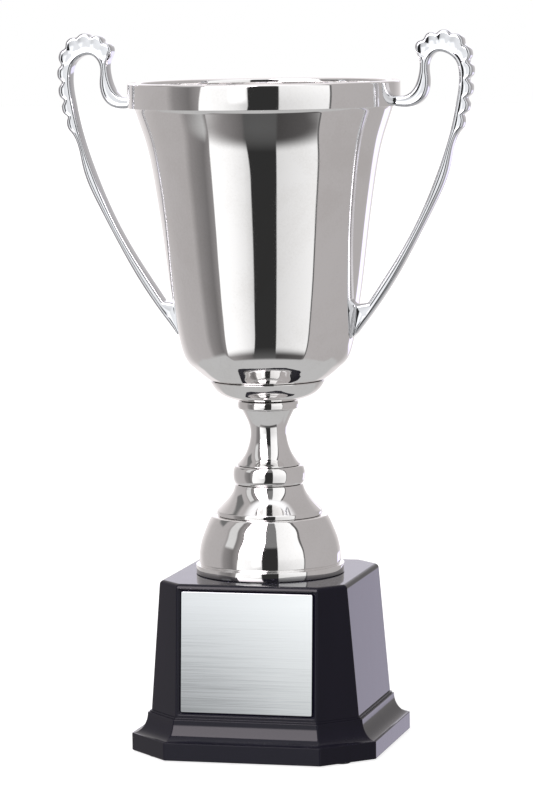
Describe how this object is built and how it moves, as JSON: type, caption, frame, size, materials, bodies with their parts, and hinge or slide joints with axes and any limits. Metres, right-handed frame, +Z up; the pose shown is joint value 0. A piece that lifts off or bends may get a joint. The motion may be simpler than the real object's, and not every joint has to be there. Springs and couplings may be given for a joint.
{
  "type": "cup trophy",
  "caption": "Tall two-handled presentation cup with scalloped handles on a turned stem and domed foot, bolted to a black moulded plinth with a blank engraving plate.",
  "frame": {"origin": "centre of the footprint, on the surface the rubber feet stand on", "axes": "+Z up the tie rod; -Y out of the engraving plate; handles along +X and -X"},
  "size_m": [0.255, 0.163, 0.4285],
  "materials": {
    "plated_metal": "polished nickel-silver plate, mirror bright",
    "plinth_black": "moulded thermoset, gloss, blue-black",
    "plate_silver": "fine horizontal brushing, lacquered",
    "fastener_steel": "zinc plated, satin",
    "adhesive": "double-sided acrylic tape",
    "rubber": "moulded, matt"
  },
  "bodies": {
    "root": {"cup_body": "plated_metal", "rim_band": "plated_metal", "handle_left": "plated_metal", "handle_right": "plated_metal", "cup_saucer": "plated_metal", "collar_disc": "plated_metal", "stem": "plated_metal", "knop_ring": "plated_metal", "stem_skirt": "plated_metal", "foot": "plated_metal", "handle_screw_right_upper": "fastener_steel", "handle_screw_right_lower": "fastener_steel", "handle_screw_left_upper": "fastener_steel", "handle_screw_left_lower": "fastener_steel", "tie_rod": "fastener_steel", "cap_nut": "fastener_steel", "cup_washer": "fastener_steel", "base_washer": "fastener_steel", "spring_washer": "fastener_steel", "base_nut": "fastener_steel", "plinth": "plinth_black", "engraving_plate": "plate_silver", "plate_adhesive_pad": "adhesive", "rubber_foot_1": "rubber", "rubber_foot_2": "rubber", "rubber_foot_3": "rubber", "rubber_foot_4": "rubber"}
  },
  "joints": []
}
